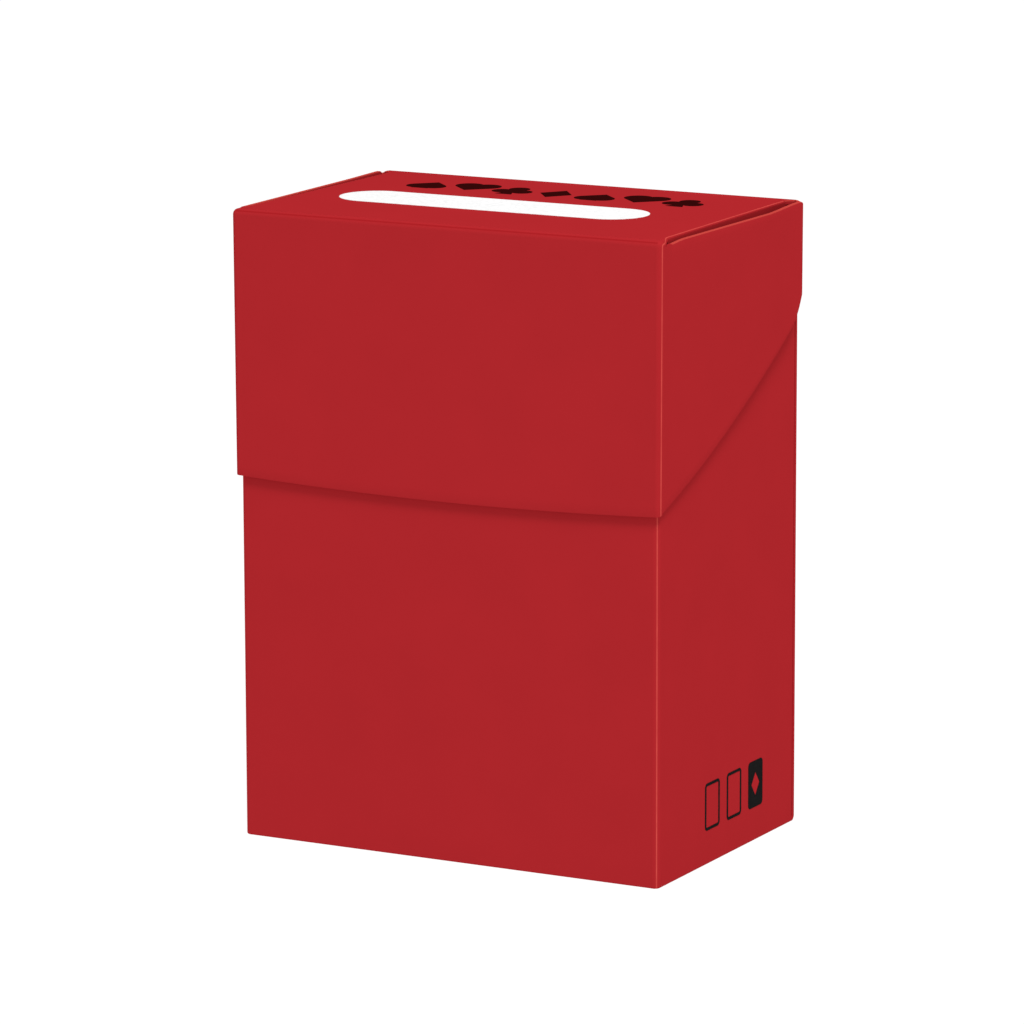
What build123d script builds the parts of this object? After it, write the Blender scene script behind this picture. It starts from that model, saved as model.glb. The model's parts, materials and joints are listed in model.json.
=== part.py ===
"""Card deck box: a tray and a lid folded from one polypropylene blank, with a loose divider.

Frame: millimetres, +Z up, origin at the centre of the tray's base where it rests.
The deep front flap of the lid faces -Y, the lid hinge runs along X at the top of the back.

The blank is die cut and creased, so every panel between two creases is a flat plate and
every crease is a narrow rounded fold. One column of the blank runs from the front panel
under the base, up the back and over the lid to its front flap. The side panels hang on the
front panel, the wings hang on the flap, and tabs hold both with thin layers of glue.
"""

import os
from math import cos, radians, sin, sqrt

from build123d import *

os.makedirs("parts", exist_ok=True)

# ---------------------------------------------------------------- driving dimensions
SHEET = 0.6  # thickness of the polypropylene sheet
FOLD = 0.9  # outside radius of an ordinary fold
GLUE = 0.1  # thickness of a glue layer
INK = 0.04  # thickness of a printed film

TRAY_WIDTH = 70.0
TRAY_DEPTH = 46.4
BOX_HEIGHT = 95.7  # floor to the top face of the closed lid
FRONT_HEIGHT = 78.0
SIDE_REAR_HEIGHT = 84.5  # the side walls slope up from the front to this
NOTCH_RADIUS = 12.0  # thumb notch in the front wall
NOTCH_LEAD_IN = 3.0

SEAM_FLAP = (14.0, 80.0)  # width and height of the side panels' flaps inside the back
SEAM_FLAP_BOTTOM = 2.0
BASE_TAB = (38.0, 13.0)  # length and height of the base's tabs inside the sides
TAB_CUT = 4.0  # corners of hidden flaps and tabs are cut off by this
GLUE_MARGIN = 1.0  # glue stays this far inside the edge of a flap or tab
BASE_INSET = 0.1  # the base and back are cut this much narrower on each side

LID_SIDE_GAP = 0.15  # between tray and lid at the front corners
LID_FRONT_GAP = 0.1
LID_FLARE = 0.8  # degrees that each wing stands open towards the rear
FLAP_RIM = 55.5  # height of the front flap's lower rim at its ends
FLAP_RIM_SAG = 0.9  # the rim dips by this in the middle
WING_TOP = 95.6
WING_REAR_CORNER = 79.0  # where the slanting rim meets the rear edge
WING_RIM_SAG = 1.7
WING_CORNER_RADIUS = 3.5
LIP_REAR = 22.5  # outer face of the narrow lip behind each wing
LIP_TOE = (80.6, 88.5)  # the lip's slanting lower end, outside and behind
LIP_GAP = 0.15  # between the lip's edge and the tray

TAB_FRONT = (34.3, -19.5)  # the crease of each tab runs from here
TAB_REAR = (33.5, 17.5)  # to here, nearer the middle, so a gap opens beside the wing
WIDENING_BULGE = 0.3  # below a half, the top panel widens ever faster to its front corners
TOP_REAR = (35.0, 0.9)  # half the width of the wider strip beside the hinge, and its depth
TOP_REAR_FILLET = 1.2
TAB_FOLD = 0.7
TAB_HEIGHT = 9.5
WING_GLUE_ENDS = (-17.5, -6.0)
WING_GLUE_HEIGHTS = (87.0, 93.5)

HINGE_FOLD = 0.9  # outside radius of the living hinge
HINGE_WEB = 0.35  # the crease is pressed thinner here so that it bends
HINGE_GAP = 0.02  # between the hinge and the lid's plate, which turns past it

DIVIDER = (66.5, 0.5, 91.5)  # width, thickness, height
DIVIDER_CORNER = 4.0
DIVIDER_GAP = 0.2  # from the divider to the seam flaps when it stands at the back
DIVIDER_LIFT = 0.1  # clearance above the base

LABEL = (51.0, 11.2)  # white write-on area on the lid
LABEL_CENTRE = (-2.8, -3.1)
PIP = 7.0  # height of a printed suit pip
PIP_PITCH = 7.2
PIP_COUNT = 7
PIP_ROW_CENTRE = (0.2, 11.3)
# Pip shapes, as shares of a pip's height.
STEM_HALF = 0.2
HEART_SIDE = 0.62
HEART_LIFT = 0.08
SPADE_SIDE = 0.54
CLUB_LEAF = 0.23
CLUB_SIDE_LEAF = (0.24, -0.08)
CLUB_MIDDLE = 0.14
DIAMOND_HALF = 0.38

CARD = (4.9, 7.2)  # small cards printed low on the right side
CARD_CORNER = 0.7
CARD_LINE = 0.45
CARD_PITCH = 7.3
CARD_ROW_CENTRE = (2.0, 8.8)

# ---------------------------------------------------------------- derived places
half_width = TRAY_WIDTH / 2
half_depth = TRAY_DEPTH / 2
side_fold_x = half_width - FOLD  # where side and front or back plates end
seam_face_y = half_depth - SHEET - GLUE  # outer face of flaps inside front and back
base_edge_x = half_width - BASE_INSET
base_tab_x = half_width - SHEET - GLUE  # outer face of the base's tabs
lid_half_width = half_width + LID_SIDE_GAP + SHEET
lid_front_y = -(half_depth + LID_FRONT_GAP + SHEET)
lid_fold_z = BOX_HEIGHT - FOLD
top_front_y = lid_front_y + FOLD
hinge_fold_y = half_depth - HINGE_FOLD
hinge_fold_z = BOX_HEIGHT - HINGE_FOLD
top_rear_y = hinge_fold_y - HINGE_GAP


# ---------------------------------------------------------------- shared steps
def finish(part, label):
    """Labels a finished piece and writes its STEP file."""
    part.label = label
    export_step(part, f"parts/{label}.step")


def finish_pair(part, label):
    """Writes a right-hand piece and its mirror image; label holds {} for the side."""
    finish(part, label.format("right"))
    finish(mirror(part, about=Plane.YZ), label.format("left"))


def fold(plane, centre, radius, start, sweep, length, thickness=SHEET):
    """A rounded fold: a sector of a ring drawn on the plane and drawn out by length."""
    with BuildPart() as strip:
        with BuildSketch(plane):
            with BuildLine():
                outer = CenterArc(centre, radius, start, sweep)
                inner = CenterArc(centre, radius - thickness, start, sweep)
                Line(outer @ 0, inner @ 0)
                Line(outer @ 1, inner @ 1)
            make_face()
        extrude(amount=length)
    return strip.part


def along_x(half_length):
    """Plane at the left end of a fold that runs along X; its axes are Y and Z."""
    return Plane.YZ.offset(-half_length)


def along_y(rear):
    """Plane at the rear end of a fold that runs along Y; its axes are X and Z."""
    return Plane.XZ.offset(-rear)


def line_x(start, end, y):
    """X at a given Y on the line from start to end."""
    return start[0] + (end[0] - start[0]) * (y - start[1]) / (end[1] - start[1])


# ---------------------------------------------------------------- tray: walls and base
with BuildPart() as front_panel:
    with BuildSketch(Plane.XZ.offset(half_depth)) as front_outline:
        with Locations((0, (FRONT_HEIGHT + FOLD) / 2)):
            Rectangle(2 * side_fold_x, FRONT_HEIGHT - FOLD)
        with Locations((0, FRONT_HEIGHT)):
            Circle(NOTCH_RADIUS, mode=Mode.SUBTRACT)
        notch_corners = front_outline.vertices().group_by(Axis.Y)[-1].sort_by(Axis.X)[1:3]
        fillet(notch_corners, NOTCH_LEAD_IN)
    extrude(amount=-SHEET)
finish(front_panel.part, "tray_front_panel")

side_rear_y = seam_face_y - FOLD
with BuildPart() as side_panel:
    with BuildSketch(Plane.YZ.offset(half_width)):
        Polygon(
            (-half_depth + FOLD, 0),
            (side_rear_y, 0),
            (side_rear_y, SIDE_REAR_HEIGHT),
            (-half_depth + FOLD, FRONT_HEIGHT),
            align=None,
        )
    extrude(amount=-SHEET)
finish_pair(side_panel.part, "tray_{}_side_panel")

with BuildPart() as back_panel:
    with BuildSketch(Plane.XZ.offset(-half_depth)):
        with Locations((0, (FOLD + hinge_fold_z) / 2)):
            Rectangle(2 * base_edge_x, hinge_fold_z - FOLD)
    extrude(amount=SHEET)
finish(back_panel.part, "tray_back_panel")

base_half_depth = half_depth - FOLD
base_fold_x = base_tab_x - FOLD
with BuildPart() as bottom_panel:
    with BuildSketch(Plane.XY):
        Rectangle(2 * base_fold_x, 2 * base_half_depth)
    extrude(amount=SHEET)
finish(bottom_panel.part, "tray_bottom_panel")

# ---------------------------------------------------------------- tray: folds
front_fold = fold(
    Plane.XY, (side_fold_x, -half_depth + FOLD), FOLD, -90, 90, FRONT_HEIGHT
)
finish_pair(front_fold, "tray_front_{}_fold")

rear_fold = fold(
    Plane.XY.offset(FOLD),
    (side_fold_x, side_rear_y),
    FOLD,
    0,
    90,
    SIDE_REAR_HEIGHT - FOLD,
)
finish_pair(rear_fold, "tray_rear_{}_fold")

front_base_fold = fold(
    along_x(side_fold_x), (-base_half_depth, FOLD), FOLD, 180, 90, 2 * side_fold_x
)
finish(front_base_fold, "tray_front_base_fold")

rear_base_fold = fold(
    along_x(base_edge_x), (base_half_depth, FOLD), FOLD, -90, 90, 2 * base_edge_x
)
finish(rear_base_fold, "tray_rear_base_fold")

tab_half_length = BASE_TAB[0] / 2
side_base_fold = fold(
    along_y(tab_half_length), (base_fold_x, FOLD), FOLD, -90, 90, BASE_TAB[0]
)
finish_pair(side_base_fold, "tray_{}_base_fold")

# ---------------------------------------------------------------- tray: glued flaps and tabs
seam_flap_centre = (side_fold_x - SEAM_FLAP[0] / 2, SEAM_FLAP_BOTTOM + SEAM_FLAP[1] / 2)
with BuildPart() as seam_flap:
    with BuildSketch(Plane.XZ.offset(-seam_face_y)):
        Polygon(
            (side_fold_x, SEAM_FLAP_BOTTOM),
            (side_fold_x, SEAM_FLAP_BOTTOM + SEAM_FLAP[1]),
            (side_fold_x - SEAM_FLAP[0], SEAM_FLAP_BOTTOM + SEAM_FLAP[1] - TAB_CUT),
            (side_fold_x - SEAM_FLAP[0], SEAM_FLAP_BOTTOM + TAB_CUT),
            align=None,
        )
    extrude(amount=SHEET)
finish_pair(seam_flap.part, "tray_{}_seam_flap")

with BuildPart() as seam_glue:
    with BuildSketch(Plane.XZ.offset(-(half_depth - SHEET))):
        with Locations(seam_flap_centre):
            Rectangle(
                SEAM_FLAP[0] - 2 * GLUE_MARGIN,
                SEAM_FLAP[1] - 2 * (TAB_CUT + GLUE_MARGIN),
            )
    extrude(amount=GLUE)
finish_pair(seam_glue.part, "tray_{}_seam_glue")

with BuildPart() as base_tab:
    with BuildSketch(Plane.YZ.offset(base_tab_x)):
        Polygon(
            (-tab_half_length, FOLD),
            (tab_half_length, FOLD),
            (tab_half_length - TAB_CUT, FOLD + BASE_TAB[1]),
            (-tab_half_length + TAB_CUT, FOLD + BASE_TAB[1]),
            align=None,
        )
    extrude(amount=-SHEET)
finish_pair(base_tab.part, "tray_{}_base_tab")

with BuildPart() as base_glue:
    with BuildSketch(Plane.YZ.offset(half_width - SHEET)):
        with Locations((0, FOLD + BASE_TAB[1] / 2)):
            Rectangle(
                BASE_TAB[0] - 2 * (TAB_CUT + GLUE_MARGIN),
                BASE_TAB[1] - 2 * GLUE_MARGIN,
            )
    extrude(amount=-GLUE)
finish_pair(base_glue.part, "tray_{}_base_glue")

# ---------------------------------------------------------------- lid: top and flap
flap_half_width = lid_half_width - FOLD
top_strip_y = top_rear_y - TOP_REAR[1]


def widening(inner, outer, bulge):
    """Outline of the top panel's right side where it widens in front of the tab."""
    middle_x = inner[0] + (outer[0] - inner[0]) * bulge
    return ThreePointArc(inner, (middle_x, (inner[1] + outer[1]) / 2), outer)


with BuildPart() as top_panel:
    with BuildSketch(Plane.XY.offset(BOX_HEIGHT)):
        with BuildLine():
            front_corner = widening(TAB_FRONT, (flap_half_width, top_front_y), WIDENING_BULGE)
            rear_fillet = CenterArc(
                (TAB_REAR[0] + TOP_REAR_FILLET, top_strip_y - TOP_REAR_FILLET),
                TOP_REAR_FILLET,
                180,
                -90,
            )
            Polyline(TAB_FRONT, TAB_REAR, rear_fillet @ 0)
            Polyline(
                rear_fillet @ 1,
                (TOP_REAR[0], top_strip_y),
                (TOP_REAR[0], top_rear_y),
                (0, top_rear_y),
            )
            Line(front_corner @ 1, (0, top_front_y))
            Line((0, top_front_y), (0, top_rear_y))
        make_face()
        mirror(about=Plane.YZ)
    extrude(amount=-SHEET)
finish(top_panel.part, "lid_top_panel")

with BuildPart() as front_flap:
    with BuildSketch(Plane.XZ.offset(-lid_front_y)):
        with BuildLine():
            rim = ThreePointArc(
                (-flap_half_width, FLAP_RIM),
                (0, FLAP_RIM - FLAP_RIM_SAG),
                (flap_half_width, FLAP_RIM),
            )
            Polyline(
                rim @ 1,
                (flap_half_width, lid_fold_z),
                (-flap_half_width, lid_fold_z),
                rim @ 0,
            )
        make_face()
    extrude(amount=-SHEET)
finish(front_flap.part, "lid_front_flap")

# ---------------------------------------------------------------- lid: wings
flare = radians(LID_FLARE)
wing_normal = Vector(cos(flare), -sin(flare), 0)
wing_along = Vector(sin(flare), cos(flare), 0)
wing_fold_centre = Vector(flap_half_width, lid_front_y + FOLD, 0)
wing_start = wing_fold_centre + wing_normal * FOLD
wing_length = (LIP_REAR - FOLD - FOLD * sin(flare) - wing_start.Y) / cos(flare)
wing_plane = Plane(origin=wing_start, x_dir=wing_along, z_dir=wing_normal)

with BuildPart() as wing:
    with BuildSketch(wing_plane) as wing_outline:
        with BuildLine():
            slant = ThreePointArc(
                (0, FLAP_RIM),
                (wing_length / 2, (FLAP_RIM + WING_REAR_CORNER) / 2 - WING_RIM_SAG),
                (wing_length, WING_REAR_CORNER),
            )
            Polyline(slant @ 1, (wing_length, WING_TOP), (0, WING_TOP), slant @ 0)
        make_face()
        rear_edge = wing_outline.vertices().group_by(Axis.X)[-1]
        fillet(rear_edge.sort_by(Axis.Y)[0], WING_CORNER_RADIUS)
    extrude(amount=-SHEET)
finish_pair(wing.part, "lid_{}_wing")

wing_fold = fold(
    Plane.XY.offset(FLAP_RIM),
    (wing_fold_centre.X, wing_fold_centre.Y),
    FOLD,
    -90,
    90 - LID_FLARE,
    WING_TOP - FLAP_RIM,
)
finish_pair(wing_fold, "lid_front_{}_fold")

# The lip turns in behind each wing and closes the gap beside the tray.
lip_centre = wing_start + wing_along * wing_length - wing_normal * FOLD
lip_inner_x = half_width + LIP_GAP
with BuildPart() as lip:
    with BuildSketch(Plane.XY.offset(LIP_TOE[0])):
        with BuildLine():
            outer = CenterArc((lip_centre.X, lip_centre.Y), FOLD, -LID_FLARE, 90 + LID_FLARE)
            inner = CenterArc(
                (lip_centre.X, lip_centre.Y), FOLD - SHEET, -LID_FLARE, 90 + LID_FLARE
            )
            Line(outer @ 0, inner @ 0)
            Polyline(
                outer @ 1,
                (lip_inner_x, LIP_REAR),
                (lip_inner_x, LIP_REAR - SHEET),
                inner @ 1,
            )
        make_face()
    extrude(amount=WING_TOP - LIP_TOE[0])
    with BuildSketch(Plane.YZ.offset(half_width)):
        Polygon(
            (lip_centre.Y, LIP_TOE[0]),
            (LIP_REAR, LIP_TOE[0]),
            (LIP_REAR, LIP_TOE[1]),
            align=None,
        )
    extrude(amount=2 * (lip_centre.X - half_width), mode=Mode.SUBTRACT)
finish_pair(lip.part, "lid_{}_lip")

# ---------------------------------------------------------------- lid: folds and tabs
lid_front_fold = fold(
    along_x(flap_half_width), (top_front_y, lid_fold_z), FOLD, 90, 90, 2 * flap_half_width
)
finish(lid_front_fold, "lid_front_fold")

tab_fold_z = BOX_HEIGHT - TAB_FOLD
tab_forward = (Vector(*TAB_FRONT) - Vector(*TAB_REAR)).normalized()
tab_outward = Vector(-tab_forward.Y, tab_forward.X)
tab_length = (Vector(*TAB_FRONT) - Vector(*TAB_REAR)).length
tab_fold_plane = Plane(origin=Vector(*TAB_REAR), x_dir=tab_outward, z_dir=tab_forward)
tab_fold = fold(tab_fold_plane, (0, tab_fold_z), TAB_FOLD, 0, 90, tab_length)
finish_pair(tab_fold, "lid_{}_tab_fold")

tab_face_rear = Vector(*TAB_REAR) + tab_outward * TAB_FOLD
with BuildPart() as tab:
    with BuildSketch(Plane(origin=tab_face_rear, x_dir=-tab_forward, z_dir=tab_outward)):
        Polygon(
            (-tab_length, tab_fold_z),
            (0, tab_fold_z),
            (-TAB_CUT, tab_fold_z - TAB_HEIGHT),
            (-tab_length + TAB_CUT, tab_fold_z - TAB_HEIGHT),
            align=None,
        )
    extrude(amount=-SHEET)
finish_pair(tab.part, "lid_{}_tab")


def tab_face_x(y):
    """X of the right tab's outer face at a given Y."""
    face_front = tab_face_rear + tab_forward * tab_length
    return line_x((tab_face_rear.X, tab_face_rear.Y), (face_front.X, face_front.Y), y)


def wing_inner_x(y):
    """X of the right wing's inner face at a given Y."""
    inner_start = wing_start - wing_normal * SHEET
    inner_end = inner_start + wing_along
    return line_x((inner_start.X, inner_start.Y), (inner_end.X, inner_end.Y), y)


with BuildPart() as wing_glue:
    with BuildSketch(Plane.XY.offset(WING_GLUE_HEIGHTS[0])):
        Polygon(
            (tab_face_x(WING_GLUE_ENDS[0]), WING_GLUE_ENDS[0]),
            (wing_inner_x(WING_GLUE_ENDS[0]), WING_GLUE_ENDS[0]),
            (wing_inner_x(WING_GLUE_ENDS[1]), WING_GLUE_ENDS[1]),
            (tab_face_x(WING_GLUE_ENDS[1]), WING_GLUE_ENDS[1]),
            align=None,
        )
    extrude(amount=WING_GLUE_HEIGHTS[1] - WING_GLUE_HEIGHTS[0])
finish_pair(wing_glue.part, "lid_{}_wing_glue")

# The living hinge is the same sheet, pressed thin between the back panel and the lid.
lid_hinge = fold(
    along_x(base_edge_x),
    (hinge_fold_y, hinge_fold_z),
    HINGE_FOLD,
    0,
    90,
    2 * base_edge_x,
    thickness=HINGE_WEB,
)
finish(lid_hinge, "lid_hinge")

# ---------------------------------------------------------------- divider
divider_front_y = seam_face_y - SHEET - DIVIDER_GAP - DIVIDER[1]
divider_bottom = SHEET + DIVIDER_LIFT
with BuildPart() as divider:
    with BuildSketch(Plane.XZ.offset(-divider_front_y)) as divider_outline:
        with Locations((0, divider_bottom + DIVIDER[2] / 2)):
            Rectangle(DIVIDER[0], DIVIDER[2])
        fillet(divider_outline.vertices().group_by(Axis.Y)[-1], DIVIDER_CORNER)
    extrude(amount=-DIVIDER[1])
finish(divider.part, "card_divider")

# ---------------------------------------------------------------- printing
with BuildPart() as label:
    with BuildSketch(Plane.XY.offset(BOX_HEIGHT)):
        with Locations(LABEL_CENTRE):
            SlotOverall(*LABEL)
    extrude(amount=INK)
finish(label.part, "write_on_label")


def lobes(side, up):
    """A heart of a square and two circles, or upside down the leaf of a spade."""
    offset = side / (2 * sqrt(2))
    with BuildSketch() as leaf:
        Rectangle(side, side, rotation=45)
        with Locations((-offset, up * offset), (offset, up * offset)):
            Circle(side / 2)
    return leaf.sketch


def stem(height):
    """The foot that spades and clubs stand on."""
    with BuildSketch() as foot:
        Polygon((0, 0), (-STEM_HALF * height, -height / 2), (STEM_HALF * height, -height / 2), align=None)
    return foot.sketch


def heart(height):
    with BuildSketch() as pip:
        with Locations((0, HEART_LIFT * height)):
            add(lobes(HEART_SIDE * height, 1))
    return pip.sketch


def spade(height):
    with BuildSketch() as pip:
        add(lobes(SPADE_SIDE * height, -1))
        add(stem(height))
    return pip.sketch


def club(height):
    side_x, side_y = CLUB_SIDE_LEAF
    with BuildSketch() as pip:
        with Locations(
            (0, (0.5 - CLUB_LEAF) * height),
            (-side_x * height, side_y * height),
            (side_x * height, side_y * height),
        ):
            Circle(CLUB_LEAF * height)
        Circle(CLUB_MIDDLE * height)
        add(stem(height))
    return pip.sketch


def diamond(height):
    half = DIAMOND_HALF * height
    with BuildSketch() as pip:
        Polygon((0, height / 2), (-half, 0), (0, -height / 2), (half, 0), align=None)
    return pip.sketch


SUITS = (spade, heart, club, diamond)
first_pip_x = PIP_ROW_CENTRE[0] - (PIP_COUNT - 1) / 2 * PIP_PITCH
with BuildPart() as lid_print:
    for index in range(PIP_COUNT):
        with BuildSketch(Plane.XY.offset(BOX_HEIGHT)):
            with Locations((first_pip_x + index * PIP_PITCH, PIP_ROW_CENTRE[1])):
                add(SUITS[index % len(SUITS)](PIP))
    extrude(amount=INK)
finish(lid_print.part, "lid_print")

with BuildPart() as side_print:
    with BuildSketch(Plane.YZ.offset(half_width)):
        for step in (-1, 0, 1):
            with Locations((CARD_ROW_CENTRE[0] + step * CARD_PITCH, CARD_ROW_CENTRE[1])):
                RectangleRounded(*CARD, CARD_CORNER)
                if step < 1:
                    RectangleRounded(
                        CARD[0] - 2 * CARD_LINE,
                        CARD[1] - 2 * CARD_LINE,
                        CARD_CORNER - CARD_LINE,
                        mode=Mode.SUBTRACT,
                    )
                else:
                    add(diamond(CARD[1] / 2), mode=Mode.SUBTRACT)
    extrude(amount=INK)
finish(side_print.part, "side_print")
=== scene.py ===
import json
from math import atan2, cos, degrees, pi, radians, sin, sqrt

import bmesh
import bpy
from mathutils import Matrix, Vector
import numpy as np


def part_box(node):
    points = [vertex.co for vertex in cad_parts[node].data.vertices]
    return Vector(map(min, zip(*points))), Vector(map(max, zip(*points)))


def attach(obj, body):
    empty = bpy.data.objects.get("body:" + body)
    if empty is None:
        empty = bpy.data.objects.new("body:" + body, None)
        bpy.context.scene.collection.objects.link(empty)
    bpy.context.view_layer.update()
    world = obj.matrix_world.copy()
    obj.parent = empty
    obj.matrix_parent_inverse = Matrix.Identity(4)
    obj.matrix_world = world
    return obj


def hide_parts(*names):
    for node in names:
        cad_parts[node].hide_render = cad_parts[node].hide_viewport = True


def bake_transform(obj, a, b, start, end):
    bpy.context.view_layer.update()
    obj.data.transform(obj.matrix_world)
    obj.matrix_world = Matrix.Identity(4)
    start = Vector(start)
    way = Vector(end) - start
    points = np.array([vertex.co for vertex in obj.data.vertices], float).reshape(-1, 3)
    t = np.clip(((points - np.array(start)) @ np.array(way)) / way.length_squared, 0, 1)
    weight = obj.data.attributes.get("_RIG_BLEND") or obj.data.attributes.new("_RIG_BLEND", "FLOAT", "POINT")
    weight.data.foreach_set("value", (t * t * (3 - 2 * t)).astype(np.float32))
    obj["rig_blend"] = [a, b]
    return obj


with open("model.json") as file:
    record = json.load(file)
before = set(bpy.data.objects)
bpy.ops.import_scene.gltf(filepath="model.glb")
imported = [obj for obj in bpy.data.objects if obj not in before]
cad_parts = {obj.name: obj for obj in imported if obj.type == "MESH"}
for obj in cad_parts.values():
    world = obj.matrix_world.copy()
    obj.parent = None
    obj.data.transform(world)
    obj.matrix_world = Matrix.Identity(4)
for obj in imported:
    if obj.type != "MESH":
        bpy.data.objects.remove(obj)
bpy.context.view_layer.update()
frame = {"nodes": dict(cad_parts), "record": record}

# ------------------------------------------------------------ sizes, in millimetres
MM = 0.001
SHEET = 0.6  # thickness of the polypropylene sheet
FOLD = 0.9  # outside radius of an ordinary fold
HINGE_WEB = 0.35  # thickness of the living hinge
ROOF_CREASE = 0.3  # outside radius of the tight creases above the lid's tabs
EDGE_ROUND = 0.07  # the die leaves cut edges slightly rounded
PALE_ROUND = 0.12  # a little more where the cut edge is bright
ARC_STEPS = 14  # facets in a quarter-turn fold
FOOT_STEPS = 8  # and in the small turn at the walls' feet
WING_STEPS = 90
FLAP_STEPS = 48
LIP_STEPS = 5
RISE_STEPS = 24  # from the skirt's lower rim to its upper one
NOTCH_STEPS = 120
BESIDE_NOTCH_STEPS = 6
PANEL_STEPS = 20  # along and up the tray's flat panels
BASE_STEPS = 12
SPINE_STEPS = 16  # across the tray's bottom and back
WEB_STEPS = 8  # across the living hinge
SHARP_TURN = radians(24)  # faces that meet at more than this look sharp
NEAR = 1.0  # the attribute of a crease line falls from 1 to 0 over this distance
JOIN = 0.04  # width of a step between two stretches of a sheet


def node_box(node):
    """Lowest and highest corner of a CAD node, in millimetres."""
    low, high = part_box(node)
    return low / MM, high / MM


# Places read from the frame: the lid's skirt, its roof and the tray.
flap_low, flap_high = node_box("lid_front_flap")
FLAP_X = flap_high.x
FLAP_Y = flap_low.y
FLAP_TOP = flap_high.z
WING_TOP = node_box("lid_right_wing")[1].z
lip_low, lip_high = node_box("lid_right_lip")
LIP_REAR = lip_high.y
LIP_REACH = 0.12  # the lips reach in by this, almost to the strip at the hinge
LIP_INNER_X = lip_low.x - LIP_REACH
roof_low, roof_high = node_box("lid_top_panel")
ROOF_TOP = roof_high.z
ROOF_REAR = roof_high.y
ROOF_FRONT = roof_low.y
ROOF_REAR_X = roof_high.x
TAB_TOE = node_box("lid_right_tab")[0].z
tab_fold_low, tab_fold_high = node_box("lid_right_tab_fold")
TAB_FOLD = tab_fold_high.z - tab_fold_low.z
TAB_FRONT_Y, TAB_REAR_Y = tab_fold_low.y, tab_fold_high.y
front_low, front_high = node_box("tray_front_panel")
TRAY_FRONT = front_low.y
FRONT_TOP = front_high.z
side_high = node_box("tray_right_side_panel")[1]
TRAY_X = side_high.x
SIDE_REAR_TOP = side_high.z
SIDE_REAR = side_high.y
base_high = node_box("tray_bottom_panel")[1]
back_high = node_box("tray_back_panel")[1]
BACK_Y = back_high.y
BACK_TOP = back_high.z
hinge_low, hinge_high = node_box("lid_hinge")
HINGE_FOLD = hinge_high.y - hinge_low.y

# Shapes that a box doesn't give.
FLARE = radians(0.8)  # each wing stands open towards the rear
LID_LINE = 0.7  # how far round its front folds the lid's bright crease lines run
TRAY_LINE = 0.46  # and the tray's
LEAN = 0.15  # the lid's sides lean in by this at the height of the flap's rim
RIM_END = 55.5  # lower rim of the flap at its ends
RIM_SAG = 0.9  # and how far it dips between them
WING_REAR_RIM = 79.0  # the slanting rim's height at the wing's rear edge
WING_RIM_SAG = 1.7  # how far the slanting rim hangs below a straight line
LIP_TOE = 88.5  # lower end of the lip behind the wing
REAR_ROUND = 3.2  # the slanting rim starts to turn up this far from the wing's rear
PALE_FROM = 2.0  # the wing's cut edge is bright from this far behind the roof's front
TAB_START = 2.4  # the tab begins this far behind the roof's front
TAB_CUT = 4.0  # and has its full depth from this far within its fold's ends
TAB_REAR_DEPTH = 2.5  # a shallow end of each tab runs on below the strip at the hinge
TAB_LIP_GAP = 0.1
RIGHT_RISE = 7.0  # behind the front corners the wings' tops rise over these lengths
LEFT_RISE = 2.6
RIGHT_DIP = 0.42  # the right wing's top runs this much lower, but for its rear
RIGHT_DIP_END = 10.0  # from this Y on both wings' tops rise to the rear
REAR_LIFT = 0.08  # the wings' rear ends stand almost level with the roof
REAR_DIP = 0.38  # and are rounded down by this where they turn into the lips
REAR_DIP_REACH = 1.2
CORNER_RISE = 0.5  # the skirt's lower front corners are slightly rounded
STRIP = 0.9  # depth of the roof's wider strip beside the hinge
STRIP_CORNER = 0.4  # radius of its rear corners
BASE_ROUND = 0.3  # the walls turn under with this radius
REAR_FOLD = 0.62  # outside radius of the tight folds at the tray's rear
NOTCH_RADIUS = 12.0  # the thumb notch
NOTCH_LEAD_IN = 3.0  # radius of its shoulders

# ------------------------------------------------------------ sheets
JOINED, PLAIN, PALE = "joined", "plain", "pale"  # how a sheet ends at its rim; a pale rim has the cut edge's own paler tone and a painted highlight
SHOWN_LAYERS = ("crease", "score_shade")  # bright crease lines, and painted shade along the scored line
UP_Z = "z"  # a path drawn in X and Y, the sheet spans along Z
ALONG_X = "x"  # a path drawn in Y and Z, the sheet spans along X


class Spot:
    """A place on a sheet: a point on each face, and how near a line is."""

    def __init__(self, outer, inner, crease=0.0, score_shade=0.0):
        self.outer = Vector(outer)
        self.inner = Vector(inner)
        self.lines = {"crease": crease, "score_shade": score_shade}


def near(distance):
    return max(0.0, 1.0 - abs(distance) / NEAR)


def smooth(share):
    share = min(1.0, max(0.0, share))
    return share * share * (3 - 2 * share)


def blend_between(start, end, share):
    return start + (end - start) * share


def evenly(count):
    return [i / count for i in range(count + 1)]


def new_mesh():
    bm = bmesh.new()
    for layer in SHOWN_LAYERS:
        bm.verts.layers.float.new(layer)
    return bm


def round_edges(bm, edges, radius, material):
    bmesh.ops.bevel(
        bm,
        geom=edges,
        offset=radius * MM,
        segments=2,
        profile=0.5,
        affect="EDGES",
        clamp_overlap=True,
        material=material,
    )


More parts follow.
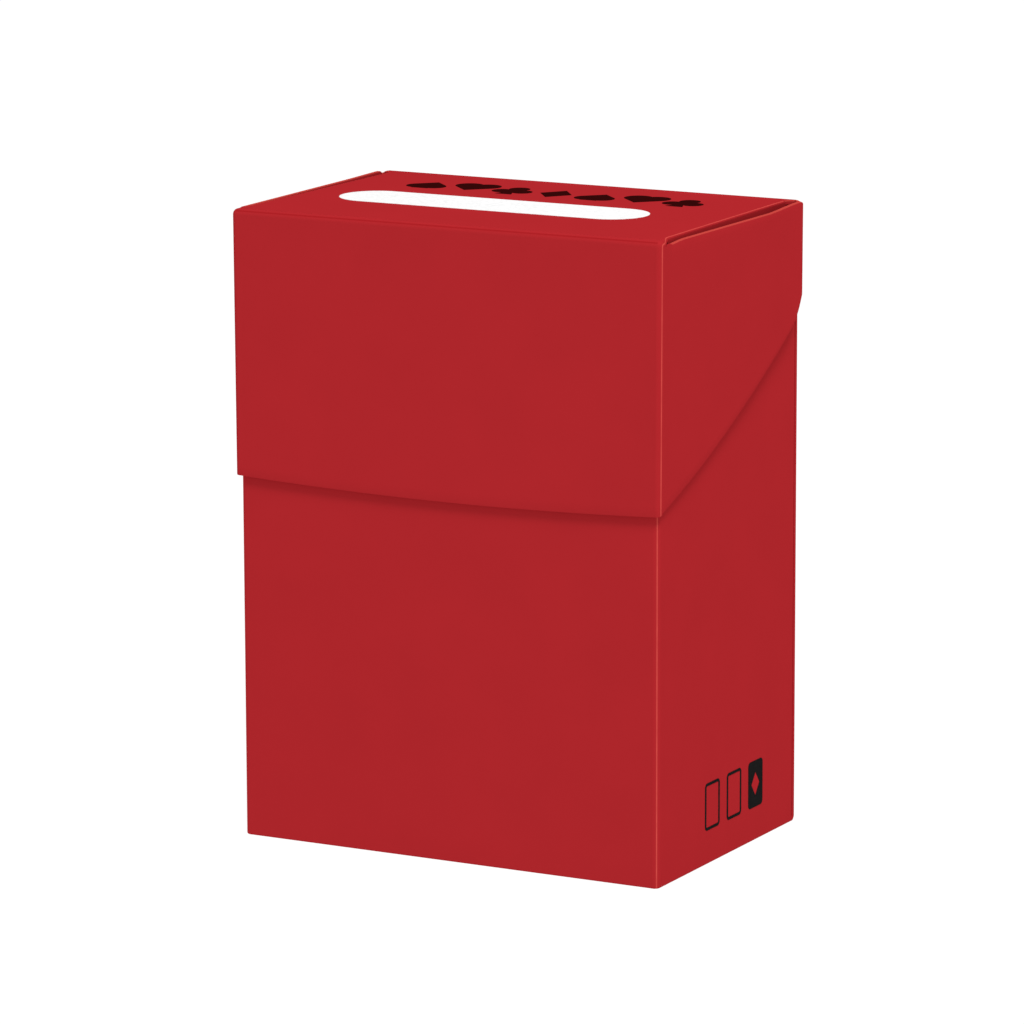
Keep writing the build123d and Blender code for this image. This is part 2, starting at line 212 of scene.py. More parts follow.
def add_sheet(bm, grid, rim):
    """Adds a closed sheet through a grid of spots; rim(spot, side) says how it ends."""

    def corner(at, spot, shown):
        vert = bm.verts.new(at * MM)
        for layer in SHOWN_LAYERS:
            vert[bm.verts.layers.float[layer]] = spot.lines[layer] if shown else 0.0
        return vert

    outer = [[corner(spot.outer, spot, True) for spot in row] for row in grid]
    inner = [[corner(spot.inner, spot, False) for spot in row] for row in grid]
    last_row, last_column = len(grid) - 1, len(grid[0]) - 1
    rounded = {PLAIN: [], PALE: []}

    def close(first, second, side):
        """One face of the rim, between two neighbouring places of the grid."""
        corners = [faces[i][j] for faces, (i, j) in (
            (outer, first), (outer, second), (inner, second), (inner, first)
        )]
        kinds = {rim(grid[i][j], side) for i, j in (first, second)}
        kind = kinds.pop() if len(kinds) == 1 else JOINED
        face = bm.faces.new(corners)
        face.material_index = 1 if kind == PALE else 0
        if kind != JOINED:
            rounded[kind].append(bm.edges.get(corners[:2]))
            rounded[kind].append(bm.edges.get(corners[2:]))

    for i in range(last_row):
        for j in range(last_column):
            for faces in (outer, inner):
                ring = (faces[i][j], faces[i][j + 1], faces[i + 1][j + 1], faces[i + 1][j])
                bm.faces.new(ring)
        close((i, 0), (i + 1, 0), "low")
        close((i, last_column), (i + 1, last_column), "high")
    for j in range(last_column):
        close((0, j), (0, j + 1), "start")
        close((last_row, j), (last_row, j + 1), "end")
    bmesh.ops.recalc_face_normals(bm, faces=bm.faces)
    # pale rims take material 1: the cut edge's paler tone with a painted highlight
    for kind, radius, material in ((PALE, PALE_ROUND, 1), (PLAIN, EDGE_ROUND, 0)):
        edges = [edge for edge in rounded[kind] if edge.is_valid]
        if edges:
            round_edges(bm, edges, radius, material)


def mesh_object(name, bm):
    bmesh.ops.remove_doubles(bm, verts=bm.verts, dist=1e-7)
    bmesh.ops.dissolve_degenerate(bm, edges=bm.edges, dist=1e-7)
    bmesh.ops.recalc_face_normals(bm, faces=bm.faces)
    mesh = bpy.data.meshes.new(name)
    bm.to_mesh(mesh)
    bm.free()
    mesh.shade_smooth()
    mesh.set_sharp_from_angle(angle=SHARP_TURN)
    obj = bpy.data.objects.new(name, mesh)
    bpy.context.scene.collection.objects.link(obj)
    return obj


# ------------------------------------------------------------ paths
def straight(start, end, steps=1):
    """Path points of a flat stretch; the sheet's outer face is on the path's right."""
    direction = Vector((end[0] - start[0], end[1] - start[1])).normalized()
    normal = (direction.y, -direction.x)
    points = []
    for share in evenly(steps):
        at = (blend_between(start[0], end[0], share), blend_between(start[1], end[1], share))
        points.append({"at": at, "normal": normal, "crease": 0.0})
    return points


def bend(centre, radius, start, end, line=None):
    """Path points of a fold about its centre, in degrees; line is its crease's share."""
    points = []
    for share in evenly(ARC_STEPS):
        turned = blend_between(start, end, share)
        angle = radians(turned)
        crease = 0.0
        if line is not None:
            crease = near(radians(turned - blend_between(start, end, line)) * radius)
        points.append(
            {
                "at": (centre[0] + radius * cos(angle), centre[1] + radius * sin(angle)),
                "normal": (cos(angle), sin(angle)),
                "crease": crease,
            }
        )
    return points


def path(*stretches):
    """Joins stretches, dropping the doubled point where two meet."""
    joined = list(stretches[0])
    for stretch in stretches[1:]:
        gap = Vector(stretch[0]["at"]) - Vector(joined[-1]["at"])
        joined += stretch[1:] if gap.length < JOIN / 4 else stretch
    return joined


def mirrored(points):
    """The same path on the left side, travelled the same way round."""
    return [
        {**p, "at": (-p["at"][0], p["at"][1]), "normal": (-p["normal"][0], p["normal"][1])}
        for p in reversed(points)
    ]


def along(points, axis, low, high, fractions, thickness=SHEET):
    """A grid of spots: each path point spans from low(point) to high(point)."""

    def place(a, b, t):
        return Vector((a, b, t)) if axis == UP_Z else Vector((t, a, b))

    grid = []
    for point in points:
        row = []
        for share in fractions:
            outer = place(*point["at"], blend_between(low(point), high(point), share))
            inner = outer - place(*point["normal"], 0) * thickness
            row.append(Spot(outer, inner, crease=point["crease"]))
        grid.append(row)
    return grid


# ------------------------------------------------------------ the lid's skirt
wing_fold_x, wing_fold_y = FLAP_X, FLAP_Y + FOLD
wing_start = (wing_fold_x + FOLD * cos(FLARE), wing_fold_y - FOLD * sin(FLARE))
wing_length = (LIP_REAR - FOLD - FOLD * sin(FLARE) - wing_start[1]) / cos(FLARE)
wing_end = (
    wing_start[0] + wing_length * sin(FLARE),
    wing_start[1] + wing_length * cos(FLARE),
)
lip_centre = (wing_end[0] - FOLD * cos(FLARE), wing_end[1] + FOLD * sin(FLARE))
lip_length = pi / 2 * FOLD + lip_centre[0] - LIP_INNER_X


def skirt_path():
    flare = degrees(FLARE)
    right = path(
        bend((wing_fold_x, wing_fold_y), FOLD, -90, -flare, LID_LINE),
        straight(wing_start, wing_end, WING_STEPS),
        bend(lip_centre, FOLD, -flare, 90),
        straight((lip_centre[0], LIP_REAR), (LIP_INNER_X, LIP_REAR), LIP_STEPS),
    )
    flap = straight((-FLAP_X + JOIN, FLAP_Y), (FLAP_X - JOIN, FLAP_Y), FLAP_STEPS)
    return path(mirrored(right), flap, right)


def skirt_low(point):
    """The flap's curved rim, the wing's slanting rim and its turned-up rear corner."""
    x, y = point["at"]
    x = abs(x)
    if x < FLAP_X:
        return RIM_END - RIM_SAG * (1 - (x / FLAP_X) ** 2)
    if y < wing_start[1]:
        return RIM_END + CORNER_RISE * ((y - FLAP_Y) / (wing_start[1] - FLAP_Y)) ** 2
    distance = (y - wing_start[1]) / cos(FLARE)
    share = min(1.0, distance / wing_length)
    slant = blend_between(RIM_END + CORNER_RISE, WING_REAR_RIM, share)
    slant -= WING_RIM_SAG * 4 * share * (1 - share)
    beyond = max(0.0, distance - (wing_length - REAR_ROUND))
    if y >= wing_end[1]:
        turned = atan2(y - lip_centre[1], x - lip_centre[0]) if x > lip_centre[0] else pi / 2
        beyond = REAR_ROUND + FOLD * (turned + FLARE) + max(0.0, lip_centre[0] - x)
    whole = REAR_ROUND + lip_length
    rise = LIP_TOE - WING_REAR_RIM
    return slant + rise * (1 - sqrt(max(0.0, 1 - (beyond / whole) ** 2)))


def rear_dip(x, y):
    """How far the wing's top is rounded down near the middle of its rear fold."""
    corner = Vector(lip_centre) + Vector((FOLD, FOLD)) * cos(pi / 4)
    distance = (Vector((abs(x), y)) - corner).length
    return REAR_DIP * smooth(1 - distance / REAR_DIP_REACH)


def skirt_high(point):
    """The flap and its folds end under the roof's rounded front; the wings rise higher."""
    x, y = point["at"]
    dip, rise = (RIGHT_DIP, RIGHT_RISE) if x > 0 else (0.0, LEFT_RISE)
    rear = smooth((y - RIGHT_DIP_END) / (LIP_REAR - FOLD - RIGHT_DIP_END))
    top = blend_between(WING_TOP - dip, WING_TOP + REAR_LIFT, rear) - rear_dip(x, y)
    return blend_between(FLAP_TOP, top, smooth((y - ROOF_FRONT) / rise))


# the wing's top edge gets the pale cut edge with its painted highlight; the lower rims stay plain
def skirt_rim(spot, side):
    if side == "high":
        return PALE if spot.outer.y > ROOF_FRONT + PALE_FROM else JOINED
    return PLAIN


def lean_in(grid):
    """Leans the skirt's ends in towards the flap's rim."""
    for spot in (spot for row in grid for spot in row):
        low = max(0.0, FLAP_TOP - spot.outer.z) / (FLAP_TOP - RIM_END)
        for at in (spot.outer, spot.inner):
            at.x -= LEAN * low * at.x / FLAP_X
    return grid


# ------------------------------------------------------------ the lid's roof
crease_shift = (TAB_FOLD - ROOF_CREASE) / 2
crease_front_x = tab_fold_high.x - TAB_FOLD + crease_shift
crease_rear_x = tab_fold_low.x + crease_shift
strip_front = ROOF_REAR - STRIP
fillet = ROOF_REAR_X - (crease_rear_x + ROOF_CREASE)
fillet_front = strip_front - fillet


def roof_edge(y):
    """Half width of the roof's flat top, and the radius that its side turns down with."""
    if y >= TAB_FRONT_Y:
        share = min(1.0, (y - TAB_FRONT_Y) / (TAB_REAR_Y - TAB_FRONT_Y))
        return blend_between(crease_front_x, crease_rear_x, share), ROOF_CREASE
    corner = smooth((TAB_FRONT_Y - y) / (TAB_FRONT_Y - ROOF_FRONT))
    return (
        blend_between(crease_front_x, FLAP_X, corner),
        blend_between(ROOF_CREASE, FOLD, corner),
    )


def tab_drop(y, radius):
    """How far the sheet hangs below its side fold: the tab, or just the cut edge."""
    plate = max(0.0, SHEET - radius)
    full = ROOF_TOP - radius - TAB_TOE
    front = (y - ROOF_FRONT - TAB_START) / (TAB_FRONT_Y + TAB_CUT - ROOF_FRONT - TAB_START)
    rear = max((TAB_REAR_Y - y) / TAB_CUT, TAB_REAR_DEPTH / full)
    return max(plate, full * min(1.0, max(0.0, min(front, rear))))


FLAT_SHARES = evenly(10)
FLAT_MARGINS = (1.0, 0.3, 0.1)  # more points beside the crease, for its bright line
DROP_STEPS = 8
LINE_TURN = radians(16)  # the bright line sits this far round the tight crease
CORNER_TURN = radians(90) * LID_LINE  # and this far round the front corner
SCORE_TURN = radians(48)  # the painted shade of the scored line sits this far round the front fold
ROOF_STRETCHES = (  # where each stretch of the flat roof ends, and its rows
    (TAB_FRONT_Y, 14),
    (TAB_FRONT_Y + TAB_CUT, 6),
    (TAB_REAR_Y - TAB_CUT, 10),
    (TAB_REAR_Y, 6),
    (fillet_front, 2),
)


def roof_row(tilt, y, score_shade):
    """One row of the roof from left to right; tilt is how far the front fold has turned."""
    width, radius = roof_edge(y)
    corner = smooth((TAB_FRONT_Y - y) / (TAB_FRONT_Y - ROOF_FRONT))
    line_turn = blend_between(LINE_TURN, CORNER_TURN, corner)
    drop = tab_drop(y, radius) if tilt == 0 else 0.0
    inner_radius = max(0.0, radius - SHEET)
    inner_width = width + min(0.0, radius - SHEET)

    def spot(side, outer, inner, crease=0.0, score_shade_here=0.0):
        """Places a pair of (across, up from the fold's centre), turned by the tilt."""
        placed = [
            (side * x, y - up * sin(tilt), ROOF_TOP - radius + up * cos(tilt))
            for x, up in (outer, inner)
        ]
        return Spot(*placed, crease=crease, score_shade=score_shade_here)

    def half(side):
        """From the middle of the roof out to the tab's edge."""
        spots = []
        inner_up = radius - SHEET
        across = [share * (width - FLAT_MARGINS[0]) for share in FLAT_SHARES]
        across += [width - margin for margin in FLAT_MARGINS[1:]]
        for x in across:
            crease = near(width - x + line_turn * radius)
            spots.append(spot(side, (x, radius), (min(x, inner_width), inner_up), crease, score_shade))
        for share in evenly(ARC_STEPS):
            turn = share * pi / 2
            outer = (width + radius * sin(turn), radius * cos(turn))
            inner = (inner_width, inner_up)
            if inner_radius > 0:
                inner = (width + inner_radius * sin(turn), inner_radius * cos(turn))
            crease = near((turn - line_turn) * radius)
            spots.append(spot(side, outer, inner, crease, score_shade * cos(turn) ** 4))
        inner_start = min(0.0, inner_up)
        for step in range(1, DROP_STEPS + 1):
            share = step / DROP_STEPS
            outer = (width + radius, -drop * share)
            inner = (width + radius - SHEET, blend_between(inner_start, -drop, share))
            from_line = (pi / 2 - line_turn) * radius + drop * share
            spots.append(spot(side, outer, inner, near(from_line)))
        return spots

    return list(reversed(half(-1)))[:-1] + half(1)


def roof_grid():
    rows = []
    for share in evenly(ARC_STEPS):
        tilt = (1 - share) * pi / 2
        # each row carries how near it is to the scored line, where the material paints shade
        rows.append(roof_row(tilt, ROOF_FRONT, near((tilt - SCORE_TURN) * FOLD)))
    start = ROOF_FRONT
    for end, steps in ROOF_STRETCHES:
        for step in range(1, steps + 1):
            y = blend_between(start, end, step / steps)
            rows.append(roof_row(0, y, near(SCORE_TURN * FOLD + y - ROOF_FRONT)))
        start = end
    return rows


def arc(centre, radius, start, end, steps=10):
    """Points of an arc in degrees."""
    points = []
    for share in evenly(steps):
        angle = radians(blend_between(start, end, share))
        points.append((centre[0] + radius * cos(angle), centre[1] + radius * sin(angle)))
    return points


def add_roof_rear(bm):
    """The strip beside the hinge, which widens in a small fillet at each side."""
    right = arc((ROOF_REAR_X, fillet_front), fillet, 180, 90)
    right += arc((ROOF_REAR_X - STRIP_CORNER, ROOF_REAR - STRIP_CORNER), STRIP_CORNER, 0, 90)
    outline = right + [(-x, y) for x, y in reversed(right)]
    rings = []
    for height in (ROOF_TOP, ROOF_TOP - SHEET):
        rings.append([bm.verts.new(Vector((x, y, height)) * MM) for x, y in outline])
    for ring in rings:
        bm.faces.new(ring)
    cut = []
    upper, lower = rings
    for i in range(len(outline)):
        bm.faces.new((upper[i - 1], upper[i], lower[i], lower[i - 1]))
        if i > 0:
            cut.append(bm.edges.get((upper[i - 1], upper[i])))
    bmesh.ops.recalc_face_normals(bm, faces=bm.faces)
    # the strip's edges face up and get the pale cut edge with its painted highlight
    round_edges(bm, cut, PALE_ROUND, 1)


def add_tab_end(bm, side):
    """The tab's shallow end, below the strip and its fillet."""
    outer_x = side * (crease_rear_x + ROOF_CREASE)
    top = ROOF_TOP - SHEET
    low = Vector((outer_x - side * SHEET, fillet_front, ROOF_TOP - ROOF_CREASE - TAB_REAR_DEPTH))
    high = Vector((outer_x, LIP_REAR - SHEET - TAB_LIP_GAP, top))
    size = high - low
    box = bmesh.ops.create_cube(bm, size=1.0)
    for vert in box["verts"]:
        share = vert.co + Vector((0.5, 0.5, 0.5))
        vert.co = (low + Vector(a * b for a, b in zip(size, share))) * MM


def make_skirt():
    bm = new_mesh()
    grid = along(skirt_path(), UP_Z, skirt_low, skirt_high, evenly(RISE_STEPS))
    add_sheet(bm, lean_in(grid), skirt_rim)
    return mesh_object("lid_skirt", bm)


def make_roof():
    bm = new_mesh()
    add_sheet(bm, roof_grid(), lambda spot, side: JOINED)
    add_roof_rear(bm)
    for side in (-1, 1):
        add_tab_end(bm, side)
    return mesh_object("lid_roof", bm)


lid_skirt = make_skirt()
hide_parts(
    "lid_front_flap",
    "lid_front_left_fold",
    "lid_front_right_fold",
    "lid_left_wing",
    "lid_right_wing",
    "lid_left_lip",
    "lid_right_lip",
)
lid_roof = make_roof()
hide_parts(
    "lid_top_panel",
    "lid_front_fold",
    "lid_left_tab",
    "lid_right_tab",
    "lid_left_tab_fold",
    "lid_right_tab_fold",
)

# ------------------------------------------------------------ the tray
wrap_fold_x = TRAY_X - FOLD
wrap_fold_y = TRAY_FRONT + FOLD
wrap_rear_y = SIDE_REAR + FOLD - REAR_FOLD


def wrap_path():
    right = path(
        bend((wrap_fold_x, wrap_fold_y), FOLD, -90, 0, TRAY_LINE),
        straight((TRAY_X, wrap_fold_y), (TRAY_X, wrap_rear_y), PANEL_STEPS),
        bend((TRAY_X - REAR_FOLD, wrap_rear_y), REAR_FOLD, 0, 90),
    )
    notch = NOTCH_RADIUS + NOTCH_LEAD_IN
    half = wrap_fold_x - JOIN
    front = path(
        straight((-half, TRAY_FRONT), (-notch, TRAY_FRONT), BESIDE_NOTCH_STEPS),
        straight((-notch, TRAY_FRONT), (notch, TRAY_FRONT), NOTCH_STEPS),
        straight((notch, TRAY_FRONT), (half, TRAY_FRONT), BESIDE_NOTCH_STEPS),
    )
    return path(mirrored(right), front, right)


def notch_depth(x):
    """Depth of the thumb notch: a half round with rounded shoulders."""
    x = abs(x)
    lead_x = sqrt((NOTCH_RADIUS + NOTCH_LEAD_IN) ** 2 - NOTCH_LEAD_IN**2)
    touch = lead_x * NOTCH_RADIUS / (NOTCH_RADIUS + NOTCH_LEAD_IN)
    if x < touch:
        return sqrt(NOTCH_RADIUS**2 - x**2)
    if x < lead_x:
        return NOTCH_LEAD_IN - sqrt(NOTCH_LEAD_IN**2 - (lead_x - x) ** 2)
    return 0.0


def wrap_high(point):
    x, y = point["at"]
    if abs(x) < wrap_fold_x:
        return FRONT_TOP - notch_depth(x) if y < 0 else SIDE_REAR_TOP
    share = (y - wrap_fold_y) / (SIDE_REAR - wrap_fold_y)
    return blend_between(FRONT_TOP, SIDE_REAR_TOP, min(1.0, max(0.0, share)))


def wrap_column(point):
    """Spots up one point of the path: round the wall's foot, then straight up."""
    normal = Vector((*point["normal"], 0))
    wall = Vector((*point["at"], 0))
    crease = point["crease"]
    spots = []
    for step in range(FOOT_STEPS):
        dip = pi / 2 * (1 - step / FOOT_STEPS)
        outer = wall - normal * BASE_ROUND * (1 - cos(dip))
        inner = wall - normal * SHEET
        outer.z = inner.z = BASE_ROUND * (1 - sin(dip))
        spots.append(Spot(outer, inner, crease=crease))
    for fraction in evenly(PANEL_STEPS):
        outer = wall.copy()
        outer.z = blend_between(BASE_ROUND, wrap_high(point), fraction)
        spots.append(Spot(outer, outer - normal * SHEET, crease=crease))
    return spots


# the tray's top rims get the pale cut edge with its painted highlight
def wrap_rim(spot, side):
    return PALE if side == "high" else JOINED


def spine_path():
    return path(
        straight((TRAY_FRONT + SHEET, 0), (BACK_Y - FOLD - JOIN, 0), BASE_STEPS),
        bend((BACK_Y - FOLD, FOLD), FOLD, -90, 0),
        straight((BACK_Y, FOLD + JOIN), (BACK_Y, BACK_TOP), PANEL_STEPS),
    )


def spine_half_width(point):
    return back_high.x if point["at"][0] >= BACK_Y - FOLD else base_high.x


def spine_rim(spot, side):
    return PLAIN if side in ("low", "high") else JOINED


def make_sheet(name, grid, rim):
    bm = new_mesh()
    add_sheet(bm, grid, rim)
    return mesh_object(name, bm)


tray_wrap = make_sheet("tray_wrap", [wrap_column(point) for point in wrap_path()], wrap_rim)
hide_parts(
    "tray_front_panel",
    "tray_front_base_fold",
    "tray_front_left_fold",
    "tray_front_right_fold",
    "tray_left_side_panel",
    "tray_right_side_panel",
    "tray_rear_left_fold",
    "tray_rear_right_fold",
)

spine_grid = along(
    spine_path(),
    ALONG_X,
    lambda p: -spine_half_width(p),
    spine_half_width,
    evenly(SPINE_STEPS),
)
tray_spine = make_sheet("tray_spine", spine_grid, spine_rim)
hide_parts("tray_bottom_panel", "tray_rear_base_fold", "tray_back_panel")

hinge_path = path(
    bend((BACK_Y - HINGE_FOLD, BACK_TOP), HINGE_FOLD, 0, 90),
    straight((BACK_Y - HINGE_FOLD, ROOF_TOP), (ROOF_REAR, ROOF_TOP)),
)
hinge_grid = along(
    hinge_path,
    ALONG_X,
    lambda p: hinge_low.x,
    lambda p: hinge_high.x,
    evenly(WEB_STEPS),
    HINGE_WEB,
)
hinge_web = make_sheet("lid_hinge_web", hinge_grid, spine_rim)
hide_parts("lid_hinge")


# ------------------------------------------------------------ materials
def srgb(r, g, b):
    """A colour of 0 to 255 as the linear values that shaders take."""
    return tuple(
        (c / 255 / 12.92 if c <= 10 else ((c / 255 + 0.055) / 1.055) ** 2.4)
        for c in (r, g, b)
    ) + (1.0,)


# The Mix node has sockets for every kind of value; these are the places of two kinds.
MIX_COLOURS, MIXED_COLOUR = (6, 7), 2
MIX_NUMBERS, MIXED_NUMBER = (2, 3), 0


class Nodes:
    """Short calls for building one material's node tree."""

    def __init__(self, name):
        self.material = bpy.data.materials.new(name)
        self.material.use_nodes = True
        self.tree = self.material.node_tree
        self.shader = self.tree.nodes["Principled BSDF"]
        self.where = self.add("ShaderNodeTexCoord").outputs["Object"]

    def add(self, kind, **settings):
        node = self.tree.nodes.new(kind)
        for key, value in settings.items():
            setattr(node, key, value)
        return node

    def feed(self, socket, value):
        if isinstance(value, bpy.types.NodeSocket):
            self.tree.links.new(value, socket)
        else:
            socket.default_value = value

    def attribute(self, name):
        return self.add("ShaderNodeAttribute", attribute_name=name).outputs["Fac"]

    def noise(self, size_mm, detail=2.0, roughness=0.5):
        """Noise whose features are about size_mm across."""
        node = self.add("ShaderNodeTexNoise")
        self.feed(node.inputs["Vector"], self.where)
        node.inputs["Scale"].default_value = 1 / (size_mm * MM)
        node.inputs["Detail"].default_value = detail
        node.inputs["Roughness"].default_value = roughness
        return node.outputs["Fac"]

    def spread(self, value, low, high, at_low=0.3, at_high=0.7):
        """Maps a value between at_low and at_high, the middle of a noise, to low..high."""
        node = self.add("ShaderNodeMapRange", clamp=True)
        self.feed(node.inputs["Value"], value)
        node.inputs["From Min"].default_value = at_low
        node.inputs["From Max"].default_value = at_high
        node.inputs["To Min"].default_value = low
        node.inputs["To Max"].default_value = high
        return node.outputs["Result"]

    def line(self, layer, core_mm, width_mm):
        """1 within core_mm of a crease line, falling to 0 at width_mm."""
        at_low, at_high = 1 - width_mm / NEAR, 1 - core_mm / NEAR
        return self.spread(self.attribute(layer), 0.0, 1.0, at_low, at_high)

    def times(self, a, b):
        node = self.add("ShaderNodeMath", operation="MULTIPLY")
        self.feed(node.inputs[0], a)
        self.feed(node.inputs[1], b)
        return node.outputs[0]

    def mix(self, share, a, b):
        node = self.add("ShaderNodeMix", data_type="RGBA")
        self.feed(node.inputs["Factor"], share)
        for place, value in zip(MIX_COLOURS, (a, b)):
            self.feed(node.inputs[place], value)
        return node.outputs[MIXED_COLOUR]

    def shade(self, colour, value):
        """Lightens or darkens a colour by a factor near 1."""
        node = self.add("ShaderNodeHueSaturation")
        self.feed(node.inputs["Color"], colour)
        self.feed(node.inputs["Value"], value)
        return node.outputs["Color"]

    def bump(self, height, distance_mm, strength=1.0, under=None):
        node = self.add("ShaderNodeBump")
        self.feed(node.inputs["Height"], height)
        node.inputs["Distance"].default_value = distance_mm * MM
        node.inputs["Strength"].default_value = strength
        if under:
            self.feed(node.inputs["Normal"], under)
        return node.outputs["Normal"]


def polypropylene(name, colour, lines=False, roughness=0.5, specular=0.0):
    """Matte sheet: fine embossed grain, faint mottling, its creases' bright lines, and painted shade along
    the scored line.
    """
    nodes = Nodes(name)
    base = nodes.shade(colour, nodes.spread(nodes.noise(9.0, detail=3.0), 0.985, 1.015))
    if lines:
        worn = nodes.spread(nodes.noise(2.5, detail=4.0), 0.7, 1.0)
        # painted shade: a dark line where the scored groove would be in shadow
        base = nodes.mix(nodes.times(nodes.line("score_shade", 0.05, 0.2), PAINTED_SCORE_SHADE_SHARE), base, PAINTED_SCORE_SHADE)
        base = nodes.mix(nodes.times(nodes.line("crease", 0.05, 0.13), worn), base, STRESSED)
    nodes.feed(nodes.shader.inputs["Base Color"], base)
    handled = nodes.noise(14.0, detail=5.0, roughness=0.6)
    nodes.feed(
        nodes.shader.inputs["Roughness"], nodes.spread(handled, roughness - 0.05, roughness + 0.05)
    )
    peel = nodes.bump(nodes.noise(2.2, detail=1.0), 0.02, 0.25)
    grain = nodes.bump(nodes.noise(0.22, detail=2.0), 0.012, 0.3, under=peel)
    nodes.feed(nodes.shader.inputs["Normal"], grain)
    nodes.shader.inputs["Specular IOR Level"].default_value = specular
    nodes.shader.inputs["IOR"].default_value = 1.49
    return nodes.material


def ink(name, colour, roughness, specular=0.1):
    """Screen-printed ink: a thin even film with a faint tooth."""
    nodes = Nodes(name)
    density = nodes.spread(nodes.noise(0.5, detail=3.0), 0.9, 1.06)
    nodes.feed(nodes.shader.inputs["Base Color"], nodes.shade(colour, density))
    nodes.feed(
        nodes.shader.inputs["Roughness"],
        nodes.spread(nodes.noise(1.5, detail=3.0), roughness - 0.06, roughness + 0.06),
    )
    nodes.feed(nodes.shader.inputs["Normal"], nodes.bump(nodes.noise(0.15), 0.006, 0.4))
    nodes.shader.inputs["Specular IOR Level"].default_value = specular
    return nodes.material


def clear_glue(name):
    """Dried adhesive, cloudy and a little glossy."""
    nodes = Nodes(name)
    cloud = nodes.spread(nodes.noise(1.2, detail=3.0), 0.85, 1.1)
    nodes.feed(nodes.shader.inputs["Base Color"], nodes.shade(srgb(196, 120, 108), cloud))
    nodes.shader.inputs["Roughness"].default_value = 0.28
    nodes.feed(nodes.shader.inputs["Normal"], nodes.bump(nodes.noise(0.8), 0.03, 0.4))
    return nodes.material


RED = (0.406, 0.0189, 0.0234, 1.0)
STRESSED = (0.60, 0.07, 0.06, 1.0)  # creases whiten where the sheet is stretched
# painted shade of the scored groove at the lid's front fold, which is not modelled
PAINTED_SCORE_SHADE = (0.30, 0.006, 0.008, 1.0)
PAINTED_SCORE_SHADE_SHARE = 0.55  # how strongly the painted shade covers the sheet's red
# the cut edge's own paler tone, partly a painted highlight; it goes only on rims that face up
CUT_EDGE_AND_HIGHLIGHT = (0.52, 0.055, 0.045, 1.0)
WEB_RED = (0.46, 0.026, 0.028, 1.0)
DIVIDER_RED = (0.38, 0.014, 0.017, 1.0)
PIP_BLACK = (0.031, 0.0026, 0.0026, 1.0)  # thin enough for the sheet to tint it
SIDE_BLACK = srgb(23, 22, 22)
LABEL_WHITE = (0.95, 0.95, 0.95, 1.0)
CUT_ROUGHNESS = 0.58
WEB_ROUGHNESS = 0.36  # the living hinge is pressed smooth
DIVIDER_ROUGHNESS = 0.55
PIP_ROUGHNESS = 0.42
SIDE_INK_ROUGHNESS = 0.36
LABEL_ROUGHNESS = 0.7

lid_sheet = polypropylene("lid_polypropylene", RED, lines=True)
tray_sheet = polypropylene("tray_polypropylene", RED, lines=True)
cut_edge_and_highlight = polypropylene("cut_edge_highlight_polypropylene", CUT_EDGE_AND_HIGHLIGHT, roughness=CUT_ROUGHNESS)
web_sheet = polypropylene("hinge_polypropylene", WEB_RED, roughness=WEB_ROUGHNESS)
divider_sheet = polypropylene("divider_polypropylene", DIVIDER_RED, roughness=DIVIDER_ROUGHNESS)
lid_ink = ink("lid_ink", PIP_BLACK, PIP_ROUGHNESS, specular=0.0)
side_ink = ink("side_ink", SIDE_BLACK, SIDE_INK_ROUGHNESS)
label_ink = ink("label_ink", LABEL_WHITE, LABEL_ROUGHNESS, specular=0.2)
glue = clear_glue("dried_glue")


def dress(obj, *materials):
    """Gives an object its materials; clear() would put all faces of ours on the first."""
    if obj.data.materials:
        obj.data.materials.clear()
    for material in materials:
        obj.data.materials.append(material)


for piece, body, slot, sheet in (
    (lid_skirt, "lid", "lid_sheet", lid_sheet),
    (lid_roof, "lid", "lid_sheet", lid_sheet),
    (tray_wrap, "tray", "tray_sheet", tray_sheet),
    (tray_spine, "tray", "tray_sheet", tray_sheet),
):
    dress(piece, sheet, cut_edge_and_highlight)
    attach(piece, body)

dress(hinge_web, web_sheet, cut_edge_and_highlight)
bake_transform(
    hinge_web,
    "tray",
    "lid",
    start=Vector((0, BACK_Y, BACK_TOP)) * MM,
    end=Vector((0, ROOF_REAR, ROOF_TOP)) * MM,
)

SLOT_MATERIALS = {
    "tray_sheet": tray_sheet,
    "lid_sheet": lid_sheet,
    "hinge_web": web_sheet,
    "divider_sheet": divider_sheet,
    "clear_glue": glue,
    "white_ink": label_ink,
    "black_ink": lid_ink,
}
for subpart in frame["record"]["subparts"]:
    node = frame["nodes"][subpart["node"]]
    dress(node, SLOT_MATERIALS[subpart["material_slot"]])
dress(frame["nodes"]["side_print"], side_ink)  # denser than the ink on the lid


# ------------------------------------------------------------ floor, light and camera
FLOOR_RADIUS = 6.0  # in metres, as all of the studio
FLOOR_GREY = 0.08  # a little of the light that falls on the floor comes back
FLOOR_GLOW = 0.97
SKY = 0.53  # strength of the white surroundings, as the light they give
BACKDROP = 1.05  # as the camera sees them
MIRRORED_SKY = 0.1  # and as glossy faces mirror them
KEY_AT = (0.53, -0.53, 1.35)  # the one lamp: in front, to the right and above
KEY_AIM = (0, 0, 0.05)
KEY_SIZE = 0.45
KEY_WATTS = 15.4
VIEW_AZIMUTH, VIEW_ELEVATION, VIEW_ROLL = 28.249, 11.331, -0.167  # in degrees
VIEW_DISTANCE = 0.87027
VIEW_TARGET = Vector((-1.407, 0, 48.732)) * MM
VIEW_LENS = 203.14  # on a sensor 36 mm wide


